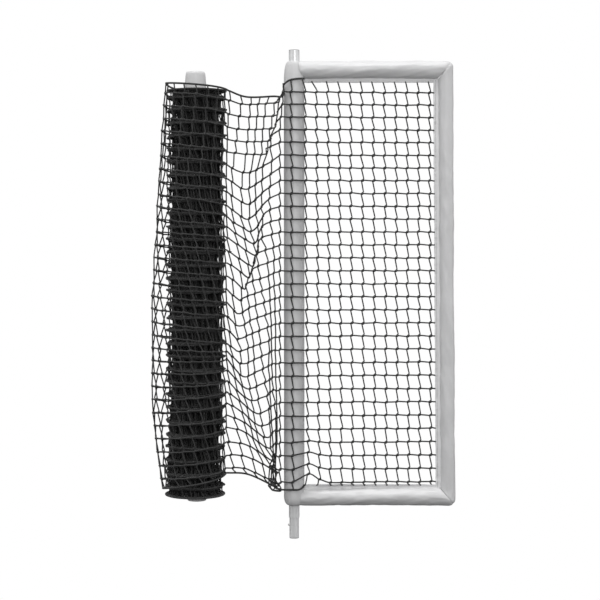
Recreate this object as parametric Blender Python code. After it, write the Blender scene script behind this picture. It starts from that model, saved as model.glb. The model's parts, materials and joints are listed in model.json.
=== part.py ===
"""Padded net barrier: a framed net wing on a plug-in post, with a loose net wound on a padded pole.

Blender 4.5. Metres, +Z up, +X towards the framed wing, -Y is the front.
The origin is the middle of the spigot's lower end, on the post's axis.
"""
import math

import bmesh
import bpy
from mathutils import Vector
from mathutils.geometry import interpolate_bezier

MM = 0.001
GAP = 0.4 * MM                  # clearance between neighbouring pieces
SIDES = 24                      # facets round every tube and sleeve

# Post: a plug-in spigot below, a bare stub above
POST_TUBE_R = 21.2 * MM
TUBE_WALL = 1.8 * MM
SPIGOT_R = 19.05 * MM
SPIGOT_LENGTH = 84.0 * MM       # bare length below the post's shoulder
SPIGOT_INSERT = 105.0 * MM      # length held inside the post tube
POST_TOP_Z = 1952.0 * MM
PLUG_FLANGE = 3.0 * MM
RIVET_HEIGHTS = (100.0 * MM, 120.0 * MM)
RIVET_R = 2.2 * MM
RIVET_HEAD_R = 4.6 * MM
RIVET_TAIL_R = 3.6 * MM
BUTTON_Z = 53.6 * MM
BUTTON_R = 4.0 * MM
BUTTON_PROUD = 5.5 * MM
BUTTON_FLANGE_R = 5.5 * MM
SPRING_THICK = 0.8 * MM
SPRING_HALF_WIDTH = 4.0 * MM
CHAMFER = 0.8 * MM

# Wing frame: two rails and a stile that leans slightly outwards at its foot
RAIL_TUBE_R = 16.85 * MM
TOP_RAIL_Z = 1873.5 * MM
BOTTOM_RAIL_Z = 167.0 * MM
STILE_TOP_X = 601.0 * MM
STILE_BOTTOM_X = 617.5 * MM
KNUCKLE = 22.0 * MM             # from a corner to the tube ends
ELBOW_INSERT = 45.0 * MM
PIN_R = 2.1 * MM

# Padding
COVER = 1.5 * MM                # thickness of the coated fabric
POST_PAD_R = 41.0 * MM
RAIL_PAD_R = 34.5 * MM
STILE_PAD_R = 29.3 * MM
SLEEVE_END_R = 23.5 * MM        # where a post sleeve closes on its tube
PAD_TOP_Z = 1906.0 * MM
PAD_BOTTOM_Z = 134.0 * MM
TOP_SHOULDER = 76.0 * MM
BOTTOM_SHOULDER = 36.0 * MM
SHOULDER_STEPS = 5
RAIL_HEM = 16.0 * MM
STILE_HEM = 19.0 * MM
HEM_HALF = 2.5 * MM

# Nets
NET_THICK = 2.2 * MM
POST_NET_R = 43.2 * MM
POST_NET_LEFT = 256.0           # degrees round the post, from +X towards +Y
POST_NET_RIGHT = 274.0
POST_NET_END = (-53.0 * MM, -44.5 * MM)
POST_NET_Z = (192.0 * MM, 1820.0 * MM)
ROPE_R = 3.5 * MM

# Loose net, hung from the post and wound round the pole
ROLL_X = -396.0 * MM
ROLL_Y = 60.0 * MM
SPAN_PLAN = (                   # its curve in plan, from the post to the roll's near side
    (-62.0 * MM, -42.5 * MM),
    (-160.0 * MM, -55.0 * MM),
    (-215.0 * MM, 120.0 * MM),
    (-268.5 * MM, 52.5 * MM),
)
SPAN_STEPS = 10
OUTER_TURN_R = 128.0 * MM       # the loose outer turn, where it follows the roll
OUTER_TURN_A = 175.0 * MM       # its reach on the far side, where it bulges
ROLL_Z = (166.0 * MM, 1798.0 * MM)
ROLL_START_R = 45.5 * MM
ROLL_END_R = 121.0 * MM
ROLL_TURNS = 10
STEPS_PER_TURN = 28

# Padded pole inside the roll
CORE_Z = (142.0 * MM, 1872.0 * MM)
CORE_R = 42.0 * MM
CORE_NECK_R = 43.6 * MM
CORE_END_R = 38.5 * MM
CORE_NECK_Z = 1800.0 * MM


def clear_scene():
    for item in list(bpy.data.objects):
        bpy.data.objects.remove(item, do_unlink=True)


def material(name, colour, roughness, metallic=0.0):
    made = bpy.data.materials.new(name)
    made.use_nodes = True
    shader = made.node_tree.nodes["Principled BSDF"]
    shader.inputs["Base Color"].default_value = (*colour, 1.0)
    shader.inputs["Roughness"].default_value = roughness
    shader.inputs["Metallic"].default_value = metallic
    made.diffuse_color = (*colour, 1.0)
    return made


def empty(name, place):
    made = bpy.data.objects.new(name, None)
    made.location = place
    bpy.context.collection.objects.link(made)
    return made


def add_mesh(name, bm, finish, parent=None):
    """Turns a bmesh into a named object, smooth where it is round."""
    bmesh.ops.recalc_face_normals(bm, faces=bm.faces)
    mesh = bpy.data.meshes.new(name)
    bm.to_mesh(mesh)
    bm.free()
    mesh.shade_smooth()
    mesh.set_sharp_from_angle(angle=math.radians(35))
    made = bpy.data.objects.new(name, mesh)
    bpy.context.collection.objects.link(made)
    if finish is not None:
        mesh.materials.append(finish)
    made.parent = parent
    return made


def loft_into(bm, rings, closed):
    """Joins rings of points side by side. A closed loft bends back to its first ring."""
    rows = [[bm.verts.new(p) for p in ring] for ring in rings]
    count = len(rows[0])
    pairs = list(zip(rows, rows[1:]))
    if closed:
        pairs.append((rows[-1], rows[0]))
    for low, high in pairs:
        for i in range(count):
            j = (i + 1) % count
            bm.faces.new((low[i], low[j], high[j], high[i]))
    if not closed:
        bm.faces.new(rows[0])
        bm.faces.new(rows[-1])


def loft(name, rings, finish, closed=False, parent=None):
    bm = bmesh.new()
    loft_into(bm, rings, closed)
    return add_mesh(name, bm, finish, parent)


def ring(centre, direction, radius, normal=None):
    """A tube's section at centre, cut square or by a plane with the given normal."""
    direction = direction.normalized()
    helper = Vector((0, 1, 0)) if abs(direction.y) < 0.9 else Vector((1, 0, 0))
    side = direction.cross(helper).normalized()
    up = side.cross(direction)
    points = []
    for i in range(SIDES):
        angle = 2 * math.pi * i / SIDES
        offset = radius * (math.cos(angle) * side + math.sin(angle) * up)
        if normal is not None:
            offset -= direction * offset.dot(normal) / direction.dot(normal)
        points.append(centre + offset)
    return points


def level_ring(radius, z):
    return ring(Vector((0, 0, z)), Vector((0, 0, 1)), radius)


def rod(name, start, end, radius, finish=None):
    along = end - start
    rings = [ring(start, along, radius), ring(end, along, radius)]
    return loft(name, rings, finish)


def tube(name, start, end, radius, finish, start_cut=None, end_cut=None, wall=TUBE_WALL):
    """A hollow tube or sleeve whose ends can be mitred by planes."""
    along = end - start
    inner = radius - wall
    rings = [
        ring(start, along, radius, start_cut),
        ring(end, along, radius, end_cut),
        ring(end, along, inner, end_cut),
        ring(start, along, inner, start_cut),
    ]
    return loft(name, rings, finish, closed=True)


def turned(name, sections, finish, parent=None):
    """A solid of revolution about Z, from (radius, height) sections, bottom to top."""
    return loft(name, [level_ring(r, z) for r, z in sections], finish, parent=parent)


def hollow_turned(name, outside, inside, finish, parent=None):
    """A sleeve about Z, from the sections of its outer and inner faces, bottom to top."""
    sections = list(outside) + list(reversed(inside))
    rings = [level_ring(r, z) for r, z in sections]
    return loft(name, rings, finish, closed=True, parent=parent)


def cut(target, *cutters):
    for cutter in cutters:
        cutter.hide_render = True
        cutter.display_type = "WIRE"
        step = target.modifiers.new("cut_" + cutter.name, "BOOLEAN")
        step.operation = "DIFFERENCE"
        step.solver = "EXACT"
        step.object = cutter


def ribbon_rings(path, thickness, lows, highs):
    """Rectangular sections of a thin upright strip that follows a path in plan."""
    rings = []
    last = len(path) - 1
    for i, point in enumerate(path):
        before = path[max(i - 1, 0)]
        after = path[min(i + 1, last)]
        along = (after - before).normalized()
        half = Vector((-along.y, along.x)) * thickness / 2
        left, right = point + half, point - half
        rings.append([
            Vector((left.x, left.y, lows[i])),
            Vector((right.x, right.y, lows[i])),
            Vector((right.x, right.y, highs[i])),
            Vector((left.x, left.y, highs[i])),
        ])
    return rings


def strip(name, path, lows, highs, finish, thickness=NET_THICK, parent=None):
    return loft(name, ribbon_rings(path, thickness, lows, highs), finish, parent=parent)


def rope(name, points, finish):
    """A round border rope along points, with filled ends."""
    curve = bpy.data.curves.new(name, "CURVE")
    curve.dimensions = "3D"
    curve.bevel_depth = ROPE_R
    curve.bevel_resolution = 2
    curve.use_fill_caps = True
    spline = curve.splines.new("POLY")
    spline.points.add(len(points) - 1)
    for target, point in zip(spline.points, points):
        target.co = (*point, 1.0)
    curve.materials.append(finish)
    made = bpy.data.objects.new(name, curve)
    bpy.context.collection.objects.link(made)
    return made


def arc(centre, a, b, start, end, steps):
    """Points on an ellipse in plan, between two angles in degrees."""
    points = []
    for i in range(steps + 1):
        angle = math.radians(start + (end - start) * i / steps)
        points.append(centre + Vector((a * math.cos(angle), b * math.sin(angle))))
    return points


def spread(first, last, count):
    return [first + (last - first) * i / (count - 1) for i in range(count)]


def shoulder(radius, end_radius, base_z, height):
    """Sections of a sleeve's rounded end, from its full radius to its end."""
    sections = []
    for i in range(SHOULDER_STEPS + 1):
        angle = math.pi / 2 * i / SHOULDER_STEPS
        section_r = end_radius + (radius - end_radius) * math.cos(angle)
        sections.append((section_r, base_z + height * math.sin(angle)))
    return sections


def post_sleeve(shrink):
    """Outer sections of the post's cover, made smaller all over by shrink."""
    radius, end = POST_PAD_R - shrink, SLEEVE_END_R - shrink
    low_base = PAD_BOTTOM_Z + BOTTOM_SHOULDER
    high_base = PAD_TOP_Z - TOP_SHOULDER
    low = shoulder(radius, end, low_base, shrink - BOTTOM_SHOULDER)
    high = shoulder(radius, end, high_base, TOP_SHOULDER - shrink)
    return list(reversed(low)) + high


def make_materials():
    return {
        "tube": material("galvanised_tube", (0.62, 0.63, 0.64), 0.28, 1.0),
        "spring": material("spring_steel", (0.45, 0.46, 0.48), 0.35, 1.0),
        "plug": material("plug_plastic", (0.55, 0.56, 0.57), 0.5),
        "elbow": material("cast_elbow", (0.5, 0.5, 0.52), 0.55, 1.0),
        "foam": material("closed_cell_foam", (0.12, 0.12, 0.13), 0.9),
        "cover": material("pad_cover", (0.58, 0.58, 0.59), 0.45),
        "net": material("net_twine", (0.012, 0.012, 0.013), 0.6),
        "rope": material("border_rope", (0.015, 0.015, 0.016), 0.65),
    }


def make_post(finish):
    shoulder_z = SPIGOT_LENGTH
    tube_top = POST_TOP_Z - PLUG_FLANGE
    post = tube("post_tube", Vector((0, 0, shoulder_z)), Vector((0, 0, tube_top)),
                POST_TUBE_R, finish["tube"])
    spigot_low = Vector((0, 0, PLUG_FLANGE + GAP))
    spigot_high = Vector((0, 0, SPIGOT_LENGTH + SPIGOT_INSERT))
    spigot = tube("spigot_tube", spigot_low, spigot_high, SPIGOT_R, finish["tube"])
    for number, z in enumerate(RIVET_HEIGHTS):
        hole = rod(f"rivet_hole_{number}", Vector((0, 12 * MM, z)), Vector((0, 26 * MM, z)),
                   RIVET_R + 0.3 * MM)
        cut(post, hole)
        cut(spigot, hole)
    button_hole = rod("button_hole", Vector((-12 * MM, 0, BUTTON_Z)),
                      Vector((-26 * MM, 0, BUTTON_Z)), BUTTON_R + 0.45 * MM)
    cut(spigot, button_hole)


def make_rivets(finish):
    """Two blind rivets at the back hold the spigot in the post."""
    tail_y = SPIGOT_R - TUBE_WALL - 0.8 * MM
    head_y = POST_TUBE_R + GAP
    profile = (
        (RIVET_TAIL_R, tail_y - 2.4 * MM),
        (RIVET_TAIL_R, tail_y),
        (RIVET_R, tail_y),
        (RIVET_R, head_y),
        (RIVET_HEAD_R, head_y),
        (RIVET_HEAD_R - 1.4 * MM, head_y + 1.8 * MM),
    )
    for number, z in enumerate(RIVET_HEIGHTS, 1):
        rings = [ring(Vector((0, y, z)), Vector((0, 1, 0)), r) for r, y in profile]
        loft(f"spigot_rivet_{number}", rings, finish["tube"])


def make_plugs(finish):
    under = POST_TOP_Z - PLUG_FLANGE + GAP
    bore = POST_TUBE_R - TUBE_WALL - GAP
    turned("post_top_plug", [
        (bore - CHAMFER, POST_TOP_Z - 27 * MM),
        (bore, POST_TOP_Z - 24 * MM),
        (bore, under),
        (POST_TUBE_R, under),
        (POST_TUBE_R, POST_TOP_Z - CHAMFER),
        (POST_TUBE_R - CHAMFER, POST_TOP_Z),
    ], finish["plug"])
    bore = SPIGOT_R - TUBE_WALL - GAP
    turned("spigot_end_plug", [
        (SPIGOT_R - CHAMFER, 0.0),
        (SPIGOT_R, CHAMFER),
        (SPIGOT_R, PLUG_FLANGE),
        (bore, PLUG_FLANGE),
        (bore, 17 * MM),
        (bore - CHAMFER, 20 * MM),
    ], finish["plug"])


def make_snap_button(finish):
    """A sprung pin in the spigot: it locks the post in its socket."""
    home = empty("button_axis", (0, 0, BUTTON_Z))
    inner_end = -13.2 * MM
    flange = -15.2 * MM
    tip = -(SPIGOT_R + BUTTON_PROUD)
    profile = (
        (BUTTON_FLANGE_R, inner_end),
        (BUTTON_FLANGE_R, flange),
        (BUTTON_R, flange),
        (BUTTON_R, tip + 2.2 * MM),
        (BUTTON_R - 0.7 * MM, tip + 0.8 * MM),
        (BUTTON_R - 2.2 * MM, tip),
    )
    rings = [ring(Vector((x, 0, 0)), Vector((-1, 0, 0)), r) for r, x in profile]
    loft("snap_button", rings, finish["spring"], parent=home)


def make_snap_spring(finish):
    """A V of spring strip: one leg behind the button, the other on the far wall."""
    path = [Vector(p) * MM for p in (
        (-12.4, -14), (-12.4, 12), (-8.0, 28), (-2.0, 47), (1.2, 51),
        (4.6, 50), (8.0, 44), (14.4, 14), (15.8, 2), (15.8, -12))]
    count = len(path)
    flat = ribbon_rings(path, SPRING_THICK, [-SPRING_HALF_WIDTH] * count,
                        [SPRING_HALF_WIDTH] * count)
    rings = [[Vector((p.x, p.z, p.y + BUTTON_Z)) for p in section] for section in flat]
    loft("snap_spring", rings, finish["spring"])


def corner_points():
    top = Vector((STILE_TOP_X, 0, TOP_RAIL_Z))
    bottom = Vector((STILE_BOTTOM_X, 0, BOTTOM_RAIL_Z))
    return top, bottom


def mitre_normals():
    """The planes where the rails' covers meet the stile's, inner to outer corner."""
    top = Vector((RAIL_PAD_R, 0, -STILE_PAD_R)).normalized()
    bottom = Vector((RAIL_PAD_R, 0, STILE_PAD_R)).normalized()
    return top, bottom


def make_frame_tubes(finish):
    top, bottom = corner_points()
    down = (bottom - top).normalized()
    right = Vector((1, 0, 0))
    saddle = rod("post_saddle", Vector((0, 0, 90 * MM)), Vector((0, 0, 1940 * MM)),
                 POST_TUBE_R + GAP)
    corners = (("top", top, down), ("bottom", bottom, -down))
    stile = tube("stile_tube", top + down * KNUCKLE, bottom - down * KNUCKLE,
                 RAIL_TUBE_R, finish["tube"])
    for place, corner, inward in corners:
        rail = tube(f"{place}_rail_tube", Vector((0, 0, corner.z)), corner - right * KNUCKLE,
                    RAIL_TUBE_R, finish["tube"])
        cut(rail, saddle)
        elbow = make_elbow(place, corner, right, inward, finish)
        for side, tube_part, along in (("rail", rail, -right), ("stile", stile, inward)):
            middle = corner + along * (KNUCKLE + ELBOW_INSERT / 2)
            reach = Vector((0, RAIL_TUBE_R - 0.3 * MM, 0))
            rod(f"{place}_{side}_pin", middle - reach, middle + reach, PIN_R, finish["spring"])
            hole = rod(f"{place}_{side}_pin_hole", middle - 1.3 * reach,
                       middle + 1.3 * reach, PIN_R + GAP)
            cut(tube_part, hole)
            cut(elbow, hole)


def make_elbow(place, corner, right, inward, finish):
    """A cast corner: a knuckle flush with the tubes and an arm inside each of them."""
    arm_r = RAIL_TUBE_R - TUBE_WALL - GAP
    shy = KNUCKLE - GAP
    reach = KNUCKLE + ELBOW_INSERT
    bisector = (right + inward).normalized()
    rings = [
        ring(corner - right * reach, right, arm_r),
        ring(corner - right * shy, right, arm_r),
        ring(corner - right * shy, right, RAIL_TUBE_R),
        ring(corner, right, RAIL_TUBE_R, bisector),
        ring(corner + inward * shy, inward, RAIL_TUBE_R),
        ring(corner + inward * shy, inward, arm_r),
        ring(corner + inward * reach, inward, arm_r),
    ]
    return loft(f"corner_elbow_{place}", rings, finish["elbow"])


def make_padding(finish):
    """Foam sleeves over the tubes and fabric covers over the foam."""
    right = Vector((1, 0, 0))
    top, bottom = corner_points()
    top_plane, bottom_plane = mitre_normals()
    cover_cope = turned("post_cover_cope", [(SLEEVE_END_R, 100 * MM)]
                        + post_sleeve(-GAP) + [(SLEEVE_END_R, 1940 * MM)], None)
    hole_r = RAIL_TUBE_R + GAP
    side_holes = [
        rod(f"rail_hole_{i}", Vector((5 * MM, 0, z)), Vector((60 * MM, 0, z)), hole_r)
        for i, z in enumerate((TOP_RAIL_Z, BOTTOM_RAIL_Z))
    ]
    bore = POST_TUBE_R + GAP
    cover_inside = [(bore, PAD_BOTTOM_Z)] + post_sleeve(COVER) + [(bore, PAD_TOP_Z)]
    cover_inside = [(max(r, bore), z) for r, z in cover_inside]
    post_cover = hollow_turned("post_cover", post_sleeve(0.0), cover_inside, finish["cover"])
    foam_shape = post_sleeve(COVER + GAP)[1:-1]
    foam_bore = [(bore, foam_shape[0][1]), (bore, foam_shape[-1][1])]
    post_foam = hollow_turned("post_foam", foam_shape, foam_bore, finish["foam"])
    cut(post_cover, *side_holes)
    cut(post_foam, *side_holes)

    back_off = 0.5 * GAP
    beyond = (top - bottom).normalized() * RAIL_PAD_R
    stile_bore = rod("stile_bore", bottom - beyond, top + beyond, hole_r)
    for place, corner, plane in (("top", top, top_plane), ("bottom", bottom, bottom_plane)):
        start = Vector((10 * MM, 0, corner.z))
        end = corner - right * back_off
        cover = tube(f"{place}_rail_cover", start, end, RAIL_PAD_R, finish["cover"],
                     end_cut=plane, wall=COVER)
        foam_r = RAIL_PAD_R - COVER - GAP
        foam = tube(f"{place}_rail_foam", start, end, foam_r, finish["foam"],
                    end_cut=plane, wall=foam_r - hole_r)
        cut(cover, cover_cope)
        cut(foam, cover_cope, stile_bore)

    top_end = top + right * back_off
    bottom_end = bottom + right * back_off
    tube("stile_cover", top_end, bottom_end, STILE_PAD_R, finish["cover"],
         top_plane, bottom_plane, COVER)
    foam_r = STILE_PAD_R - COVER - GAP
    tube("stile_foam", top_end, bottom_end, foam_r, finish["foam"],
         top_plane, bottom_plane, foam_r - hole_r)


def slab(name, corners, y_low, y_high, finish):
    """A flat piece from its outline in the frame's plane."""
    rings = [[Vector((x, y, z)) for x, z in corners] for y in (y_low, y_high)]
    return loft(name, rings, finish)


def stile_x(z, inset=0.0):
    """The stile's axis at a height, moved inwards by inset."""
    share = (z - BOTTOM_RAIL_Z) / (TOP_RAIL_Z - BOTTOM_RAIL_Z)
    return STILE_BOTTOM_X + (STILE_TOP_X - STILE_BOTTOM_X) * share - inset


def make_hems(finish):
    """Sewn edges of the covers that hold the net inside the frame."""
    start_x = POST_PAD_R + 4 * MM
    inset = STILE_PAD_R + GAP
    net_inset = STILE_PAD_R + STILE_HEM
    edges = []
    for place, rail_z, side in (("top", TOP_RAIL_Z, -1), ("bottom", BOTTOM_RAIL_Z, 1)):
        pad_z = rail_z + side * (RAIL_PAD_R + GAP)
        net_z = rail_z + side * (RAIL_PAD_R + RAIL_HEM)
        edges.append((pad_z, net_z))
        corners = [
            (start_x, pad_z),
            (stile_x(pad_z, inset + GAP), pad_z),
            (stile_x(net_z, net_inset + GAP), net_z),
            (start_x, net_z),
        ]
        slab(f"{place}_rail_hem", corners, -HEM_HALF, HEM_HALF, finish["cover"])
    (top_pad, top_net), (low_pad, low_net) = edges
    corners = [
        (stile_x(low_pad, inset), low_pad),
        (stile_x(top_pad, inset), top_pad),
        (stile_x(top_net, net_inset), top_net),
        (stile_x(low_net, net_inset), low_net),
    ]
    slab("stile_hem", corners, -HEM_HALF, HEM_HALF, finish["cover"])
    return top_net, low_net


def make_fixed_nets(finish, top_net, low_net):
    """The net across the wing, and its continuation round the post."""
    front = math.radians(POST_NET_RIGHT)
    start = POST_NET_R * Vector((math.cos(front), math.sin(front)))
    low_z, high_z = low_net + GAP, top_net - GAP
    rings = []
    for z in (low_z, high_z):
        end = Vector((stile_x(z, STILE_PAD_R + STILE_HEM + GAP), 0))
        across = (end - start).normalized()
        half = Vector((-across.y, across.x)) * NET_THICK / 2
        first = start + across * GAP
        plan = (first + half, first - half, end - half, end + half)
        rings.append([Vector((p.x, p.y, z)) for p in plan])
    loft("panel_net", rings, finish["net"])

    low, high = POST_NET_Z
    path = post_net_path(POST_NET_R, 0.0)
    strip("post_net", path, [low] * len(path), [high] * len(path), finish["net"])
    path = post_net_path(POST_PAD_R + ROPE_R + GAP, 5 * MM)
    for place, z in (("top", high + ROPE_R + GAP), ("bottom", low - ROPE_R - GAP)):
        rope(f"post_net_rope_{place}", [(p.x, p.y, z) for p in path], finish["rope"])


def post_net_path(radius, short):
    """Over the post's front in plan: straight in from the left, then round the padding."""
    left = Vector(POST_NET_END) + Vector((short, 0))
    turn = arc(Vector((0, 0)), radius, radius, POST_NET_LEFT, POST_NET_RIGHT - 2, 3)
    return [left.lerp(turn[0], i / 3) for i in range(3)] + turn


def make_loose_net(finish):
    """The net between the post and the roll, and the slack outer turn round the roll."""
    hinge = empty("swing_axis", (0, 0, 0))
    knots = [Vector(p) for p in SPAN_PLAN]
    count = SPAN_STEPS + 1
    span = [Vector(p) for p in interpolate_bezier(*knots, count)]
    centre = Vector((ROLL_X, ROLL_Y))
    near = arc(centre, OUTER_TURN_R, OUTER_TURN_R, 355.0, 270.0, 9)
    far = arc(centre, OUTER_TURN_A, OUTER_TURN_R, 270.0, 92.0, 20)
    turn = near + far[1:]
    span_lows = spread(192 * MM, 266 * MM, count)
    span_highs = spread(1764 * MM, 1790 * MM, count)
    tip = len(near) + len(far) // 2
    rest = len(turn) - tip
    turn_lows = spread(266 * MM, 200 * MM, tip) + spread(200 * MM, 190 * MM, rest)
    turn_highs = spread(1790 * MM, 1822 * MM, tip) + spread(1822 * MM, 1802 * MM, rest)
    strip("loose_net", span, span_lows, span_highs, finish["net"], parent=hinge)
    strip("outer_net_turn", turn, turn_lows, turn_highs, finish["net"], parent=hinge)
    path = span[1:] + turn
    lift = ROPE_R + GAP + 0.4 * MM
    for place, heights, side in (
        ("top", span_highs[1:] + turn_highs, 1),
        ("bottom", span_lows[1:] + turn_lows, -1),
    ):
        points = [(p.x, p.y, z + side * lift) for p, z in zip(path, heights)]
        made = rope(f"loose_net_rope_{place}", points, finish["rope"])
        made.parent = hinge


def make_roll(finish):
    """The wound net: one long strip in a spiral round the pole's axis."""
    axis = empty("roll_axis", (ROLL_X, ROLL_Y, 0))
    steps = ROLL_TURNS * STEPS_PER_TURN
    path = []
    for i in range(steps + 1):
        radius = ROLL_START_R + (ROLL_END_R - ROLL_START_R) * i / steps
        angle = 2 * math.pi * i / STEPS_PER_TURN
        path.append(radius * Vector((math.cos(angle), math.sin(angle))))
    low, high = ROLL_Z
    strip("net_roll", path, [low] * len(path), [high] * len(path), finish["net"], parent=axis)
    make_pole(axis, finish)


def make_pole(axis, finish):
    """A tube in foam and a cover, slightly swollen at its neck, with a disc at each end."""
    low, high = CORE_Z
    disc = 6 * MM
    bore = POST_TUBE_R + GAP
    outside = [
        (CORE_END_R, low),
        (CORE_R, low + 25 * MM),
        (CORE_R, CORE_NECK_Z - 60 * MM),
        (CORE_NECK_R, CORE_NECK_Z),
        (CORE_END_R + 1 * MM, high - 5 * MM),
        (CORE_END_R - 1 * MM, high - 1 * MM),
    ]
    inside = [(r - COVER, z) for r, z in outside]
    hollow_turned("pole_cover", outside, inside, finish["cover"], parent=axis)
    clear = COVER + GAP
    foam_out = [(r - clear, z) for r, z in outside[1:4]]
    foam_out.insert(0, (CORE_END_R - clear, low + disc + GAP))
    foam_out.append((CORE_END_R - clear, high - disc - 1 * MM - GAP))
    foam_in = [(bore, foam_out[0][1]), (bore, foam_out[-1][1])]
    hollow_turned("pole_foam", foam_out, foam_in, finish["foam"], parent=axis)
    tube_low, tube_high = foam_out[0][1] + 1 * MM, foam_out[-1][1] - 1 * MM
    wall_r = POST_TUBE_R - TUBE_WALL
    hollow_turned("pole_tube", [(POST_TUBE_R, tube_low), (POST_TUBE_R, tube_high)],
                  [(wall_r, tube_low), (wall_r, tube_high)], finish["tube"], parent=axis)
    disc_r = CORE_END_R - COVER - 1.2 * MM
    turned("pole_bottom_disc", [(disc_r, low), (disc_r, low + disc)],
           finish["cover"], parent=axis)
    turned("pole_top_disc", [(disc_r, high - disc - 1 * MM), (disc_r, high - 1 * MM),
                             (disc_r - 4 * MM, high)], finish["cover"], parent=axis)


def main():
    clear_scene()
    finish = make_materials()
    make_post(finish)
    make_rivets(finish)
    make_plugs(finish)
    make_snap_button(finish)
    make_snap_spring(finish)
    make_frame_tubes(finish)
    make_padding(finish)
    top_net, low_net = make_hems(finish)
    make_fixed_nets(finish, top_net, low_net)
    make_loose_net(finish)
    make_roll(finish)


main()
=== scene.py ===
"""Looks for a padded net barrier: tubes, padded covers, knotted nets and a wound roll of net.

Blender 4.5. Metres, +Z up, +X towards the framed wing, -Y is the front. The post's axis is the Z axis.
"""
import json
import math

import bmesh
import bpy
import numpy as np
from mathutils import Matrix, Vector, noise


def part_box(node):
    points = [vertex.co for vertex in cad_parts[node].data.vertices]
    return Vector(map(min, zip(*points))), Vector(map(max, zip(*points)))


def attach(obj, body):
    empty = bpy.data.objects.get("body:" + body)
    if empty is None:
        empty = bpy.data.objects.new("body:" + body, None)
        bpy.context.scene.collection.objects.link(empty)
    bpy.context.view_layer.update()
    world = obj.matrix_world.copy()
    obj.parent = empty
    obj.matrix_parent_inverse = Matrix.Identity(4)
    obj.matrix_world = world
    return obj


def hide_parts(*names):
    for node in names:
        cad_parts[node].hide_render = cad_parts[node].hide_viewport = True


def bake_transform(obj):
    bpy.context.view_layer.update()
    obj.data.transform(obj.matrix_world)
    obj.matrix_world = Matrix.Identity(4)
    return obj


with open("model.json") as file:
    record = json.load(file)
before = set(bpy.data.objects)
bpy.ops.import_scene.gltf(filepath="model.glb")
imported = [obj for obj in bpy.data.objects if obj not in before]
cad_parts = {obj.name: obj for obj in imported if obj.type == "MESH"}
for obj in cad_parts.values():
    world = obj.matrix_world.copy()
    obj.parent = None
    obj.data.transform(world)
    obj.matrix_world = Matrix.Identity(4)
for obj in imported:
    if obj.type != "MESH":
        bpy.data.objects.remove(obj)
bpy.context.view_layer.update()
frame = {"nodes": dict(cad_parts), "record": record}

MM = 0.001
RNG = np.random.default_rng(7)

# Sizes that the frame gives
POST_LOW, POST_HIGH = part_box("post_cover")
TOP_LOW, TOP_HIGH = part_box("top_rail_cover")
BOTTOM_LOW, BOTTOM_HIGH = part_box("bottom_rail_cover")
TOP_HEM_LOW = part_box("top_rail_hem")[0]
BOTTOM_HEM_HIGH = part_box("bottom_rail_hem")[1]
POLE_LOW, POLE_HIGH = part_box("pole_cover")
ROLL_LOW, ROLL_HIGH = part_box("net_roll")

# Padding
POST_R = POST_HIGH.x
RAIL_R = TOP_HIGH.y
STILE_R = 29.3 * MM
SLEEVE_END_R = 23.5 * MM         # the post cover's radius at its two ends
POST_TOP_ROUND = 76 * MM         # over these heights the post cover comes down to that radius
POST_FOOT_ROUND = 36 * MM
TOP_RAIL_Z = (TOP_LOW.z + TOP_HIGH.z) / 2
BOTTOM_RAIL_Z = (BOTTOM_LOW.z + BOTTOM_HIGH.z) / 2
STILE_TOP_X = 601.0 * MM
STILE_BOTTOM_X = 617.5 * MM
ROLL_AXIS = Vector(((POLE_LOW.x + POLE_HIGH.x) / 2, (POLE_LOW.y + POLE_HIGH.y) / 2, 0))

# Netting
TWINE_R = 3.15 * MM
UPRIGHT_R = 2.65 * MM            # the upright bars are pulled thinner than the level ones
ROPE_R = 3.8 * MM
MESH = 48.0 * MM                 # a bar of the loose net; stretched nets are narrower meshed
ROWS = 31                        # rows of knots between the two border ropes
LEAN = 5.4 * MM                  # how far a bar leaves its knot to one side
FRONT_Y = -43.6 * MM             # where the net lies over the post


# ---- materials

def node_material(name, colour, roughness, metallic=0.0):
    made = bpy.data.materials.new(name)
    made.use_nodes = True
    shader = made.node_tree.nodes["Principled BSDF"]
    shader.inputs["Base Color"].default_value = (*colour, 1.0)
    shader.inputs["Roughness"].default_value = roughness
    shader.inputs["Metallic"].default_value = metallic
    return made, made.node_tree, shader


def add_node(tree, kind, **inputs):
    node = tree.nodes.new(kind)
    for name, value in inputs.items():
        node.inputs[name.replace("_", " ")].default_value = value
    return node


def object_space(tree, scale=(1, 1, 1)):
    """Coordinates in metres, scaled for a pattern that runs along one axis."""
    source = tree.nodes.new("ShaderNodeTexCoord")
    mapping = tree.nodes.new("ShaderNodeMapping")
    mapping.inputs["Scale"].default_value = scale
    tree.links.new(source.outputs["Object"], mapping.inputs["Vector"])
    return mapping.outputs["Vector"]


def texture(tree, place, pattern="Noise", **inputs):
    """A noise or Voronoi texture at a place; returns the node."""
    node = add_node(tree, f"ShaderNodeTex{pattern}", **inputs)
    tree.links.new(place, node.inputs["Vector"])
    return node


def ramp(tree, source, low, high, dark, light):
    """Maps a factor between two values to a colour between two colours."""
    node = tree.nodes.new("ShaderNodeValToRGB")
    first, last = node.color_ramp.elements
    first.position, last.position = low, high
    first.color = (*dark, 1.0)
    last.color = (*light, 1.0)
    tree.links.new(source, node.inputs["Fac"])
    return node.outputs["Color"]


def ramp_to(tree, socket, *mapping):
    """Drives a socket by a ramp."""
    tree.links.new(ramp(tree, *mapping), socket)


def grey(level):
    return (level, level, level)


def bump(tree, shader, heights):
    """Stacks bumps of (height output, strength, distance) on the shader's normal."""
    normal = None
    for height, strength, distance in heights:
        node = add_node(tree, "ShaderNodeBump", Strength=strength, Distance=distance)
        tree.links.new(height, node.inputs["Height"])
        if normal is not None:
            tree.links.new(normal, node.inputs["Normal"])
        normal = node.outputs["Normal"]
    tree.links.new(normal, shader.inputs["Normal"])


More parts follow.
